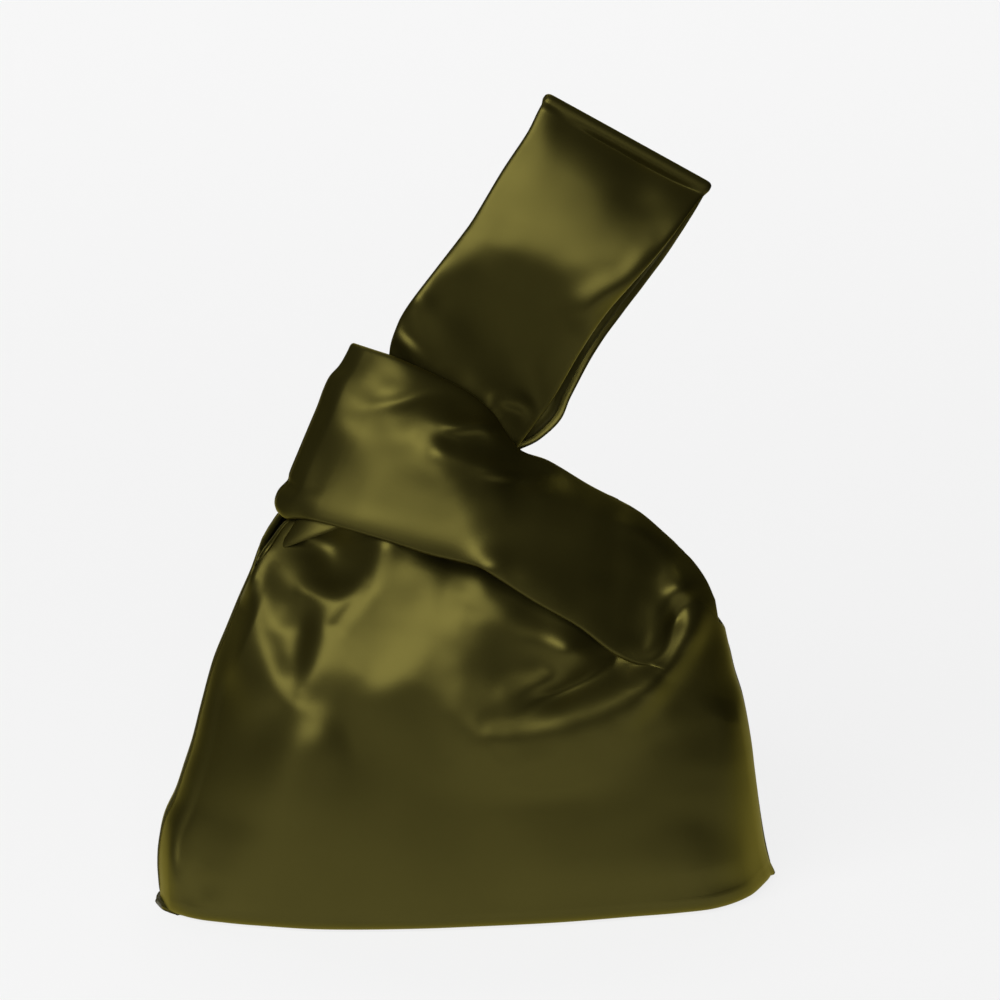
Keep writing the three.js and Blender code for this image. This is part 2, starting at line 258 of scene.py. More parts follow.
def displaced(grid, f):
    """The grid moved towards the camera by f millimetres."""
    sight = EYE - grid
    sight /= np.linalg.norm(sight, axis=-1, keepdims=True)
    return grid + sight * (f * MM)[..., None]


def inset(grid, distance, step=1):
    """A grid laid a distance inside another, with only every step-th point of it."""
    return (grid - grid_normals(grid) * distance)[::step, ::step]


# ---------------------------------------------------------------- materials
def node_material(name):
    """A node material, with a function that fills a node's inputs and one that adds a node.

    An input, by its name or number, takes a value or a link from a socket."""
    mat = bpy.data.materials.new(name)
    mat.use_nodes = True
    tree = mat.node_tree

    def fill(node, inputs):
        for key, value in inputs.items():
            if isinstance(value, bpy.types.NodeSocket):
                tree.links.new(value, node.inputs[key])
            else:
                node.inputs[key].default_value = value

    def add(kind, inputs, **settings):
        node = tree.nodes.new("ShaderNode" + kind)
        for key, value in settings.items():
            setattr(node, key, value)
        fill(node, inputs)
        return node.outputs
    return mat, fill, add


def satin(name, base, rough, metal):
    mat, fill, add = node_material(name)
    bsdf = mat.node_tree.nodes["Principled BSDF"]
    fill(bsdf, {"Metallic": metal, "Roughness": rough, "Specular IOR Level": 0.7,
                "Specular Tint": (1.0, 0.88, 0.24, 1)})
    coord = add("TexCoord", {})
    # slow mottling of the dye
    cloud = add("TexNoise", {"Scale": 18.0, "Detail": 3.0, "Vector": coord["Object"]})["Fac"]
    dark = tuple(v * 0.88 for v in base) + (1,)
    lite = tuple(min(1, v * 1.1) for v in base) + (1,)
    tone = add("Mix", {"A": dark, "B": lite, "Factor": cloud}, data_type="RGBA")["Result"]
    # the weave's long floats and slight slubs, from the cloth's UV in metres
    fine = add("Mapping", {"Scale": (2600.0, 520.0, 1.0), "Vector": coord["UV"]})["Vector"]
    floats = add("TexNoise", {"Scale": 1.0, "Detail": 2.0, "Vector": fine})["Fac"]
    coarse = add("Mapping", {"Scale": (60.0, 900.0, 1.0), "Vector": coord["UV"]})["Vector"]
    slubs = add("TexNoise", {"Scale": 1.0, "Detail": 1.0, "Vector": coarse})["Fac"]
    weave = add("Math", {0: slubs, 1: 0.35, 2: floats}, operation="MULTIPLY_ADD")["Value"]
    bump = add("Bump", {"Strength": 0.12, "Distance": 0.0002, "Height": weave})["Normal"]
    # roughness varies a little with wear
    worn = add("MapRange", {"To Min": rough - 0.03, "To Max": rough + 0.04, "Value": cloud})["Result"]
    fill(bsdf, {"Base Color": tone, "Normal": bump, "Roughness": worn})
    return mat


OLIVE = satin("olive_satin", (0.072, 0.0625, 0.0145), 0.45, 0.85)
LINING = satin("olive_lining", (0.020, 0.0175, 0.003), 0.5, 0.0)
SEAM = satin("olive_seam", (0.014, 0.012, 0.0016), 0.55, 0.0)


# ---------------------------------------------------------------- pouch
# the two side edges in the photograph, in pixels from the base up
LEFT_PX = [(162, 899), (161, 878), (160, 860), (161, 840), (166, 816), (177, 792), (186, 765), (194, 740),
           (204, 700), (215, 660), (228, 628), (240, 599), (252, 572), (262, 545), (272, 528), (284, 512),
           (300, 500), (330, 470)]
RIGHT_PX = [(774, 878), (768, 865), (763, 846), (758, 817), (754, 788), (751, 765), (748, 740), (740, 698),
            (732, 672), (727, 650), (723, 632), (717, 602), (710, 584), (703, 571), (690, 558), (676, 546),
            (662, 531), (649, 519), (633, 508), (616, 501), (593, 488), (566, 471), (538, 458), (512, 446),
            (480, 436)]


def side_edge(pixels):
    """x of a side edge at a height above the base."""
    p = world(np.array(pixels, float), 0.0)
    return hermite(p[:, 2] - p[0, 2], p[:, 0])


left_x, right_x = side_edge(LEFT_PX), side_edge(RIGHT_PX)
half_depth = hermite([0, 0.015, 0.06, 0.10, 0.13, 0.155, 0.175, 0.20],
                     [0.0545, 0.0560, 0.0585, 0.0550, 0.0475, 0.0400, 0.0335, 0.0240])
square = hermite([0, 0.05, 0.1, 0.14, 0.2], [2.35, 2.25, 2.15, 2.3, 2.5])
rim_top = hermite([0, 0.08, 0.2, 0.4, 0.58, 0.72, 0.84, 0.93, 1],
                  [0.166, 0.176, 0.186, 0.192, 0.187, 0.173, 0.155, 0.136, 0.112])
# the front of the base seen from above, (x, depth) in mm; 0.87 of the depth is used, all of it at the right end
FOOT = [(-131.5, 0), (-130.6, 12), (-128.5, 22), (-120, 34), (-108, 42), (-96, 48), (-70, 58), (-33, 63.5),
        (0, 64.5), (30.7, 64.0), (62, 60.5), (83.5, 55), (100, 47.6), (115.5, 33.4), (126, 15.5), (130, 6),
        (131.5, 0)]
foot = hermite([x * MM for x, _ in FOOT], [y * (0.87 + 0.13 * smooth(60, 118, x)) * MM for x, y in FOOT])
BASE_WIDTH = 0.263
HEEL = 0.008    # radius between base and wall


def base_x(p):
    """x at the fraction p across the base."""
    return BASE_WIDTH * p - BASE_WIDTH / 2


def pouch_depth(x, z):
    """Distance of the pouch's front or back face from the middle plane at x and z."""
    lo, hi = left_x(z), right_x(z)
    p = np.clip((x - lo) / np.maximum(hi - lo, 1e-4), 0, 1)
    round_top = half_depth(z) * arch(np.abs(1 - 2 * p), square(z))
    low = foot(base_x(p))
    depth = low + (round_top - low) * smooth(0.0, 0.05, z)
    # above the left side seam the two panels stand a little apart
    gape = 0.010 * smooth(0.138, 0.158, z) * (1 - smooth(0.0, 0.25, p))
    return np.maximum(depth, gape)


def pouch_grid(sign, cols=300, wall=250, under=13, heel=11):
    """A panel from the middle of the base to the rim, and how far across each column is, 0 to 1."""
    u = np.linspace(0, 1, cols)
    p = 0.5 * (1 - np.cos(math.pi * u)) * 0.72 + u * 0.28   # columns lie closer together near the side seams
    x0 = base_x(p)
    f0 = foot(x0)
    tuck = np.minimum(HEEL, f0)
    rows = [np.stack([x0, (f0 - tuck) * v, np.zeros(cols)], -1) for v in np.linspace(0, 1, under + 1)[:-1]]

    def row(z, y=None):
        x = left_x(z) + (right_x(z) - left_x(z)) * p
        rows.append(np.stack([x, pouch_depth(x, z) if y is None else y, z], -1))

    for a in np.linspace(0, 1, heel + 1)[:-1] * math.pi / 2:
        row(HEEL * (1 - math.cos(a)) * np.ones(cols), f0 - tuck * (1 - math.sin(a)))
    top = rim_top(p)
    for v in np.linspace(0, 1, wall):
        row(HEEL + (top - HEEL) * v)
    g = np.array(rows)
    g[..., 1] *= sign
    return g, p


# ---------------------------------------------------------------- folds
# These are the folds seen in the photograph, in its pixels, with heights in mm towards the camera.
# A crest is a line of (x, y, height, half width to its right, half width to its left).
# A dab is a soft mound or hollow: (x, y, one radius, other radius, turn in degrees, height).
SHARED_CRESTS = [
    # rim line
    [(556, 496, 0.38, 12, 12), (590, 509, 0.88, 12, 12), (615, 522, 1.38, 12, 11), (639, 529, 3.51, 10, 12),
     (659, 544, 2.57, 12, 11), (672, 560, 2.67, 11, 7), (684, 582, 3.38, 14, 13), (697, 601, 2.13, 12, 12),
     (691, 626, 0.68, 11, 12)],
    # curl under
    [(685, 598, 2.01, 15, 14), (689, 622, 3.67, 11, 14), (679, 647, 4.87, 16, 12), (660, 672, 5.71, 16, 12),
     (635, 690, 3.7, 15, 17), (607, 705, 2.22, 15, 17), (581, 715, 0.48, 14, 14), (556, 726, 0.17, 14, 14)],
    # curl second
    [(705, 606, 1.24, 9, 9), (696, 634, 2.35, 9, 9), (686, 660, 1.25, 11, 10), (670, 679, 1.56, 12, 11),
     (650, 698, 2.56, 11, 11), (633, 717, 1.36, 13, 10)],
    # curl hollow
    [(679, 607, -1.84, 10, 8), (673, 621, -3.6, 9, 10), (668, 644, -3, 9, 10), (657, 660, -3.44, 10, 10),
     (637, 666, -1.47, 13, 8)],
    # curl lip
    [(667, 595, 0.7, 10, 9), (659, 623, 1.81, 11, 9), (651, 650, 1.67, 8, 10), (632, 660, 0.1, 8, 9)],
]
SHARED_DABS = [
    (677, 592, 14, 32, 15, 1.6), (627, 530, 16, 14, 0, 0.73), (627, 557, 15, 15, 0, -0.54),
    (651, 557, 16, 16, 0, -0.45), (678, 553, 13, 15, 0, -1.21), (599, 583, 15, 15, 0, -0.57),
    (628, 581, 17, 17, 0, -1.18), (649, 582, 17, 17, 0, -1.84), (679, 586, 14, 13, 0, 1.9),
    (704, 582, 15, 15, 0, 0.55), (598, 608, 17, 17, 0, -0.84), (626, 608, 16, 16, 0, -0.59),
    (653, 608, 13, 13, 0, 0.64), (677, 611, 15, 14, 0, -1.12), (704, 609, 15, 15, 0, 0.32),
    (627, 632, 17, 16, 0, -1.05), (650, 634, 15, 16, 0, -1.08), (678, 635, 15, 15, 0, 0.41),
    (704, 634, 15, 15, 0, -0.27), (624, 660, 15, 13, 0, -1.21), (652, 660, 15, 15, 0, 0.26),
    (678, 659, 15, 15, 0, 0.26),
]
POUCH_CRESTS = [
    # swag left
    [(258, 549, 3.36, 17, 12), (247, 581, 5.05, 17, 11), (254, 618, 3.2, 17, 13), (266, 650, 3.7, 16, 17),
     (278, 680, 4, 17, 19), (296, 702, 3.2, 17, 18)],
    # swag right
    [(296, 699, 0, 15, 14), (307, 679, 3.79, 18, 18), (322, 651, 3.8, 18, 18), (335, 624, 3.11, 17, 19),
     (358, 598, 2.68, 17, 15), (374, 576, 1.96, 17, 13), (383, 547, 4.1, 17, 13)],
    # pocket axis
    [(300, 606, -1.4, 20, 12), (303, 630, -4.2, 23, 11), (300, 655, -3.4, 20, 11), (297, 681, -1.6, 14, 11)],
    # pocket between
    [(268, 566, -0.61, 12, 13), (288, 584, 1.73, 15, 15), (307, 592, 3, 12, 12), (334, 596, 3.1, 12, 11),
     (360, 588, 0.76, 11, 11)],
    # swag crease
    [(335, 626, -1.31, 8, 7), (352, 605, -0.97, 8, 6), (368, 583, -0.78, 7, 5)],
    # second ridge
    [(477, 576, 2.75, 17, 16), (471, 590, 2.41, 20, 21), (448, 614, 3.01, 22, 21), (433, 646, 1.94, 18, 18),
     (418, 676, 0.88, 18, 19)],
    # smile left
    [(471, 603, 0.38, 20, 20), (459, 639, 3.49, 19, 22), (455, 680, 3.5, 23, 22), (460, 714, 3.58, 23, 23),
     (480, 737, 4.67, 24, 21)],
    # smile low
    [(482, 733, 1.94, 21, 22), (515, 733, 4.6, 20, 20), (556, 726, 4.5, 21, 22), (602, 710, 3.93, 23, 21),
     (638, 686, 2.54, 21, 20), (660, 662, 1.21, 20, 20)],
    # smile inside
    [(482, 690, -0.16, 18, 18), (505, 705, -0.63, 17, 16), (550, 697, -4.28, 13, 11), (595, 675, -4.27, 13, 16),
     (630, 656, -2.61, 18, 19)],
]
POUCH_DABS = [
    (323, 545, 38, 30, 3, -9.3), (413, 578, 34, 37, 9, 2.33), (405, 644, 36, 44, 11, 2.85),
    (382, 692, 39, 35, -30, 3.47), (449, 590, 13, 40, 9, -1.63), (344, 659, 20, 51, 28, 3.24),
    (486, 662, 18, 36, -7, 0.48), (546, 640, 46, 18, 24, 4.06), (499, 611, 25, 32, 18, 3.45),
    (212, 720, 40, 61, -2, -2.08), (212, 825, 43, 58, -1, -3.88), (291, 774, 42, 63, 6, 6.07),
    (392, 773, 49, 57, -2, -2.47), (457, 808, 66, 51, -6, -3.62), (564, 794, 64, 36, -2, -3.36),
    (657, 761, 46, 58, 4, -1.81), (724, 792, 31, 62, 7, 2.6), (301, 874, 71, 31, 10, 0.78),
    (582, 872, 70, 27, -3, 1.34), (699, 864, 53, 25, 1, 1.71), (237, 635, 22, 63, -15, 5.43),
    (322, 735, 42, 36, 0, 3.6), (419, 721, 34, 30, 0, 0.58), (533, 763, 63, 25, -4, 4.21),
    (730, 708, 18, 57, -2, 3.2), (619, 730, 41, 22, -8, 2.48), (248, 561, 24, 36, 7, 6.41),
    (289, 564, 26, 24, 0, 1.02), (336, 558, 24, 37, -6, -6.4), (374, 562, 24, 25, 0, -0.77),
    (421, 559, 23, 25, 0, -0.6), (452, 559, 35, 10, 13, -4.53), (508, 561, 24, 24, 0, -1.34),
    (241, 598, 8, 39, 16, 6.26), (326, 608, 24, 22, 0, 2.55), (413, 603, 24, 28, 0, -0.93),
    (464, 604, 26, 25, 0, 0.58), (507, 603, 25, 24, 0, 0.99), (552, 604, 24, 24, 0, 0.42),
    (217, 645, 25, 22, 0, 2.36), (259, 648, 24, 24, 0, -0.34), (306, 647, 17, 27, 6, 1.6),
    (393, 645, 21, 26, 0, -1.16), (434, 647, 25, 24, 0, -0.51), (483, 646, 24, 28, 0, 2.38),
    (518, 646, 24, 24, 0, 1.6), (568, 649, 19, 27, -1, 3.06), (614, 651, 24, 24, 0, -3.39),
    (215, 689, 25, 25, 0, -2.26), (261, 694, 23, 26, -1, 1.52), (302, 692, 25, 25, 0, 0.37),
    (345, 689, 24, 20, 0, 0.57), (431, 692, 20, 26, 1, 0.67), (482, 691, 21, 24, -2, 1.84),
    (518, 699, 29, 17, -1, 3.71), (610, 691, 25, 23, 0, -1.31), (653, 694, 24, 25, 0, 0.78),
    (215, 736, 24, 24, 0, -0.25), (257, 738, 24, 24, 0, -0.96), (300, 738, 20, 24, 10, 0.5),
    (349, 731, 20, 30, -7, -2.15), (391, 735, 23, 25, -1, 0.47), (481, 733, 21, 22, 0, -1.31),
    (522, 736, 24, 23, 0, -0.59), (567, 738, 24, 24, 0, 0.79), (611, 732, 25, 23, 0, 1.22),
    (697, 736, 24, 25, 0, -0.96), (258, 541, 16, 14, -1, 1.96), (272, 536, 17, 12, -15, 1.6),
    (303, 538, 15, 13, -1, -0.65), (355, 539, 15, 13, 0, -0.83), (250, 566, 10, 17, 5, 2.05),
    (280, 567, 14, 13, 0, 0.38), (301, 568, 14, 14, 0, 0.4), (334, 572, 14, 14, -2, -0.52),
    (357, 566, 12, 13, 0, -0.85), (332, 589, 14, 14, 0, -0.32), (281, 616, 13, 13, 0, 0.27),
    (327, 617, 14, 14, 0, 0.32), (302, 645, 14, 14, 0, 0.33), (355, 646, 12, 13, 0, -0.4),
    (382, 644, 13, 13, 0, 0.29), (299, 670, 13, 14, 0, 0.44), (330, 668, 13, 15, 1, 0.29),
    (359, 672, 12, 13, 0, 0.56), (383, 671, 12, 13, 0, -0.27), (275, 699, 14, 14, 0, 0.43),
    (305, 698, 14, 13, 1, -0.48), (448, 589, 14, 14, 0, 0.77), (486, 588, 12, 13, 0, 0.78),
    (510, 589, 12, 13, 0, -0.52), (480, 621, 13, 14, 0, 0.66), (452, 651, 14, 14, 0, -0.28),
    (542, 652, 13, 15, -1, -0.63), (570, 650, 13, 15, 0, 1.33), (600, 651, 14, 13, 0, -0.75),
    (629, 651, 14, 13, 0, -0.49), (450, 683, 12, 16, -1, -0.39), (542, 683, 14, 8, -8, 1.06),
    (630, 680, 13, 13, 0, -0.3), (660, 678, 11, 11, 0, 1.08), (449, 713, 14, 11, 1, 0.29),
    (484, 708, 15, 12, 0, 0.65), (509, 710, 16, 10, 1, 0.66), (598, 710, 14, 13, 0, -0.42),
    (631, 710, 15, 13, -1, 1.14), (660, 710, 14, 13, 0, 0.5), (450, 740, 13, 15, 0, 0.41),
    (480, 741, 13, 14, 0, -0.3), (508, 740, 12, 13, 0, 0.41), (571, 742, 14, 13, 0, 0.53),
    (660, 740, 13, 13, 0, -0.35), (162, 852, 11, 22, -2, 6.3), (202, 853, 23, 21, 0, -1.15),
    (171, 883, 22, 18, 1, 2.32), (198, 897, 21, 25, 1, -3.4), (250, 905, 23, 16, 0, -0.82),
    (330, 908, 23, 16, 0, 0.43), (423, 913, 26, 14, -1, -1.08), (508, 909, 26, 16, 0, -1.01),
    (742, 888, 25, 13, 1, -1.97), (700, 779, 22, 14, 0, -0.4), (688, 839, 26, 17, 1, 0.7),
    (169, 830, 22, 14, 0, 0.3),
]
BAND_CRESTS = [
    # shelf
    [(338, 367, 0.22, 18, 18), (338, 396, 2.66, 20, 21), (347, 420, 3.28, 20, 21), (371, 435, 1.45, 20, 18),
     (401, 436, 2.26, 18, 18), (431, 430, 4.38, 22, 22), (456, 431, 2.99, 18, 17), (484, 425, 0.86, 19, 17)],
    # wedge
    [(456, 493, 0.1, 17, 16), (471, 520, 1.39, 17, 17), (479, 548, 1.33, 16, 18), (487, 567, 3.59, 16, 18)],
    # wedge edge
    [(472, 481, 0, 10, 10), (480, 505, 0.17, 10, 10), (490, 530, 0.25, 10, 10), (499, 553, -0.1, 10, 10)],
    # tuck lip
    [(432, 442, 1.02, 7, 9), (445, 454, 1.56, 10, 9), (470, 465, 2.2, 9, 8), (499, 474, 3.17, 5, 8),
     (522, 477, 1.8, 6, 10), (546, 480, -0.6, 10, 9), (572, 476, 0.12, 9, 9)],
    # tuck pocket
    [(431, 440, -1.28, 10, 12), (452, 438, -2.35, 11, 10), (475, 444, -2.78, 11, 12), (500, 455, -3.73, 12, 12),
     (521, 466, -2.58, 13, 10), (547, 468, -2.25, 14, 11)],
    # tuck top
    [(439, 427, 0.59, 7, 10), (458, 427, 3.11, 5, 5), (482, 426, 3.68, 5, 5), (496, 435, 0.15, 8, 9)],
]
BAND_DABS = [
    (387, 375, 30, 36, 23, 5.07), (399, 403, 28, 8, -9, -1.76), (442, 498, 32, 46, 25, 2.63),
    (559, 542, 66, 39, 41, -5.24), (603, 574, 48, 36, 35, -4.66), (546, 497, 35, 25, 22, -2.36),
    (329, 450, 22, 64, 22, 3.3), (317, 503, 31, 30, -1, 3.13), (358, 521, 40, 13, 13, 0.74),
    (437, 549, 46, 25, 23, 2.77), (304, 499, 16, 26, 7, 2.41), (329, 427, 18, 24, -2, 2.59),
    (357, 376, 21, 20, -1, 1.92), (327, 498, 21, 19, 0, -0.63), (354, 447, 22, 25, 0, 1.31),
    (391, 375, 19, 18, 0, -2.46), (383, 445, 22, 21, 0, -0.59), (404, 390, 20, 22, 0, -0.7),
    (393, 515, 22, 24, 0, -0.26), (410, 459, 26, 20, -1, 1.08), (429, 393, 26, 17, -1, -1.83),
    (422, 528, 21, 22, 0, -0.33), (438, 465, 21, 21, 1, 2.44), (457, 407, 22, 23, 0, -1.72),
    (459, 539, 21, 26, -1, 1.18), (480, 430, 22, 22, 0, 0.51), (490, 565, 30, 28, 0, 4.21),
    (500, 509, 22, 20, 0, 0.87), (508, 459, 22, 21, 0, 0.3), (518, 584, 28, 24, 2, 3.01),
    (540, 478, 29, 14, -3, -4.2), (578, 598, 21, 21, 0, -2.08), (575, 552, 23, 21, 0, 0.67),
    (581, 505, 25, 23, 0, -1.24), (616, 629, 23, 21, 0, -1.48), (620, 580, 23, 22, 0, -1.06),
    (623, 523, 23, 23, 0, -0.93), (658, 600, 23, 24, 0, -1.21), (662, 554, 23, 22, 0, -0.62),
    (421, 409, 13, 11, 0, 0.61), (444, 411, 13, 13, 0, 0.6), (473, 411, 14, 12, -1, -1.41),
    (429, 429, 12, 10, 1, -0.58), (457, 431, 10, 13, 0, 0.72), (482, 430, 12, 12, 0, 0.4),
    (437, 451, 12, 10, -1, 0.98), (466, 449, 13, 13, 0, 0.7), (492, 450, 12, 12, 0, 0.25),
    (477, 470, 12, 12, 0, -0.31), (554, 472, 13, 14, 0, -1.35), (460, 488, 12, 12, 0, 0.37),
    (487, 490, 13, 12, 0, -0.41), (510, 486, 14, 9, -2, -1.81), (537, 491, 12, 11, 0, 0.53),
    (562, 488, 11, 13, 0, -0.79),
]
HANDLE_CRESTS = [
    # corner crease
    [(396, 316, 0.08, 7, 7), (398, 334, 2.53, 6, 5), (411, 350, 2.93, 5, 5), (419, 364, 1.29, 6, 9)],
    # knot curl
    [(478, 416, 0.58, 6, 6), (491, 409, 2.56, 9, 6), (495, 399, 2.02, 8, 8), (518, 402, 2.65, 6, 8),
     (528, 413, 1.99, 5, 7), (529, 430, 0.47, 5, 6)],
    # right stripe
    [(654, 248, 1.25, 12, 19), (630, 280, 3.16, 13, 8), (592, 304, 3.66, 20, 9), (574, 334, 0.73, 16, 18),
     (552, 380, 0.1, 18, 18)],
    # right curl
    [(706, 198, 0.55, 60, 26), (670, 242, 5.29, 60, 34), (628, 288, 4.93, 60, 44), (588, 344, 2.33, 60, 44),
     (556, 392, 1.24, 60, 34), (528, 433, 3.28, 60, 26)],
    # oval edge
    [(418, 299, 1.88, 17, 18), (438, 267, 1.5, 17, 18), (475, 249, 0.22, 19, 18), (515, 246, 0.53, 18, 19),
     (547, 263, 0.68, 18, 17), (568, 295, 1.1, 18, 18), (566, 340, -0.09, 18, 18)],
]
HANDLE_DABS = [
    (500, 316, 59, 58, -30, -2.38), (472, 248, 17, 64, 32, 1.32), (611, 194, 54, 27, 32, 2.88),
    (634, 200, 28, 19, 0, -2.37), (497, 386, 40, 21, 1, 0.69), (566, 244, 62, 32, -7, 2.46),
    (430, 333, 32, 38, -2, 4.71), (402, 356, 29, 28, 0, 2.71), (441, 380, 35, 33, 1, 5.49),
    (472, 405, 29, 31, -2, 5.19), (504, 437, 23, 28, -5, 5.11), (415, 314, 27, 35, -1, 4.03),
    (452, 346, 32, 35, 0, 4.92), (483, 379, 25, 32, -2, 3.04), (536, 397, 26, 30, 0, -2.31),
    (438, 281, 29, 26, 0, 1.21), (525, 327, 26, 28, 0, -0.95), (567, 349, 28, 30, -1, -1.91),
    (469, 242, 26, 27, 0, -2.21), (512, 268, 25, 27, 0, -0.94), (552, 290, 25, 29, 0, -0.8),
    (590, 310, 24, 22, 0, 1.25), (488, 209, 34, 30, 0, -3.09), (534, 237, 26, 28, 0, -0.71),
    (583, 269, 28, 21, -6, 1.92), (617, 277, 28, 29, 0, 1.78), (503, 163, 28, 38, 6, -3.44),
    (565, 204, 25, 26, 0, 0.72), (596, 223, 28, 29, 0, 1.08), (641, 256, 35, 29, -1, 3.23),
    (545, 146, 25, 28, 1, 0.5), (579, 170, 26, 27, 0, 0.4), (622, 199, 26, 26, 0, 0.57),
    (683, 232, 27, 34, 6, 4.99), (547, 110, 16, 24, -2, 1.88), (606, 132, 31, 17, 11, -4.31),
    (649, 154, 35, 23, 11, -5.78), (690, 177, 29, 19, 6, -4.13), (415, 297, 11, 14, 1, 1.85),
    (438, 297, 13, 14, 0, -0.8), (463, 300, 13, 13, 0, 0.32), (416, 323, 13, 12, 0, 0.44),
    (513, 349, 13, 14, 0, -0.63), (535, 349, 13, 13, 0, -0.5), (560, 347, 13, 13, 0, 0.45),
    (439, 373, 15, 12, 0, 0.83), (488, 372, 13, 13, 0, -0.48), (513, 370, 14, 14, 0, -0.67),
    (532, 371, 13, 16, -1, -1), (560, 372, 13, 13, 0, -0.43), (514, 396, 13, 12, 0, 0.49),
    (537, 395, 11, 14, 0, -0.43), (534, 420, 15, 13, 0, -1.14),
]
PITCH = 2       # pixels from point to point of the lattice that the folds are worked out on
CELLS = 500
BLUR = 1.6      # softness of the lattice, in its own steps


def crest(points, x, y):
    line = path(points, 48)
    dist, side, place = nearest(x, y, line)
    step = np.arange(len(line))
    height, right, left = (np.interp(place, step, line[:, k]) for k in (2, 3, 4))
    # within 3 pixels of the line, one half width goes over into the other
    turn = np.clip(0.5 + 0.5 * side * dist / 3.0, 0, 1)
    return height * np.exp(-(dist / np.maximum(left + (right - left) * turn, 2.0)) ** 2)


def dab(p, x, y):
    c, s = math.cos(math.radians(p[4])), math.sin(math.radians(p[4]))
    u = ((x - p[0]) * c + (y - p[1]) * s) / p[2]
    v = ((y - p[1]) * c - (x - p[0]) * s) / p[3]
    return p[5] * np.exp(-(u * u + v * v))


def ridge(points, height, right, left, ends, x, y):
    """A crest of one height and width that eases off over a part of its length at either end."""
    line = path(points, 60)
    dist, side, place = nearest(x, y, line)
    place = place / (len(line) - 1)
    fall = np.exp(-(dist / np.where(side > 0, right, left)) ** 2)
    return height * fall * (smooth(0, ends[0], place) * (1 - smooth(1 - ends[1], 1, place)))


def relief(crests, dabs):
    """Relief in mm on the lattice. Each form is worked out only where it is more than nothing."""
    field = np.zeros((CELLS, CELLS))
    at = (np.arange(CELLS) + 0.5) * PITCH
    forms = [(crest, c, np.array(c)[:, :2], max(max(r[3:5]) for r in c)) for c in crests]
    forms += [(dab, d, np.array([d[:2]]), max(d[2:4])) for d in dabs]
    for form, data, spots, wide in forms:
        margin = 2.8 * wide + 8
        lo = np.clip(((spots.min(0) - margin) / PITCH).astype(int), 0, CELLS)
        hi = np.clip(((spots.max(0) + margin) / PITCH).astype(int), 0, CELLS)
        x, y = np.meshgrid(at[lo[0]:hi[0]], at[lo[1]:hi[1]])
        field[lo[1]:hi[1], lo[0]:hi[0]] += form(data, x, y)
    reach = int(4 * BLUR + 0.5)
    kernel = np.exp(-0.5 * (np.arange(-reach, reach + 1) / BLUR) ** 2)
    kernel /= kernel.sum()
    for axis in (0, 1):
        field = np.apply_along_axis(lambda row: np.convolve(row, kernel, mode="same"), axis, field)
    return field


def sampled(field, q):
    """The relief at pixels q, by smooth interpolation."""
    u = np.clip(q / PITCH - 0.5, 1, CELLS - 2.001)
    i = u.astype(int)

    def weights(t):
        return (-0.5 * t + t * t - 0.5 * t ** 3, 1 - 2.5 * t * t + 1.5 * t ** 3,
                0.5 * t + 2 * t * t - 1.5 * t ** 3, -0.5 * t * t + 0.5 * t ** 3)

    wx, wy = weights((u - i)[..., 0]), weights((u - i)[..., 1])
    out = 0
    for b in range(4):
        for a in range(4):
            out = out + wx[a] * wy[b] * field[i[..., 1] + b - 1, i[..., 0] + a - 1]
    return out


SHARED = relief(SHARED_CRESTS, SHARED_DABS)     # the right shoulder, where pouch and strap loop are one cloth
POUCH = relief(POUCH_CRESTS, POUCH_DABS)
BAND = relief(BAND_CRESTS, BAND_DABS)
HANDLE = relief(HANDLE_CRESTS, HANDLE_DABS)


def own_folds(q):
    """How much of the pouch's own folds is left: they die out where it carries on the strap loop's cloth."""
    edge = np.interp(q[..., 0], [600, 632, 653, 686, 730, 760], [652, 663, 667, 680, 694, 700])
    return 1 - smooth(-30, -4, edge - q[..., 1]) * smooth(612, 640, q[..., 0])


def closed(grid):
    """Folds die out at the base and where the two panels meet in a side seam."""
    x, z = grid[..., 0], grid[..., 2]
    left, right = x - left_x(z), right_x(z) - x
    free = np.where(left < right, smooth(0.128, 0.142, z), smooth(0.1, 0.12, z))
    return smooth(0.0, 0.02, z) * (free + (1 - free) * smooth(0.0, 0.006, np.minimum(left, right)))


def front_folds(grid):
    q = screen(grid)
    return displaced(grid, (sampled(SHARED, q) + sampled(POUCH, q) * own_folds(q)) * closed(grid))


BACK_RIDGES = [([(280, 560), (300, 620), (330, 680), (380, 730)], 3.0, 26, 30, (0.2, 0.5)),
               ([(330, 540), (370, 590), (430, 640), (500, 670)], 2.6, 24, 26, (0.15, 0.5)),
               ([(420, 560), (470, 610), (540, 650), (610, 660), (670, 630)], 3.2, 24, 22, (0.25, 0.3))]
BACK_DABS = [(540, 600, 60, 26, 18, -3.0), (300, 580, 18, 40, -20, -2.0), (360, 800, 90, 40, 8, 1.5)]


def back_folds(grid):
    """The back isn't in the photograph: it gets quieter folds, placed where the front has its main ones."""
    q = screen(grid * MIRROR)
    x, y = q[..., 0], q[..., 1]
    f = sum([ridge(*r, x, y) for r in BACK_RIDGES] + [dab(d, x, y) for d in BACK_DABS])
    out = grid.copy()
    out[..., 1] += f * own_folds(q) * MM * closed(grid)
    return out


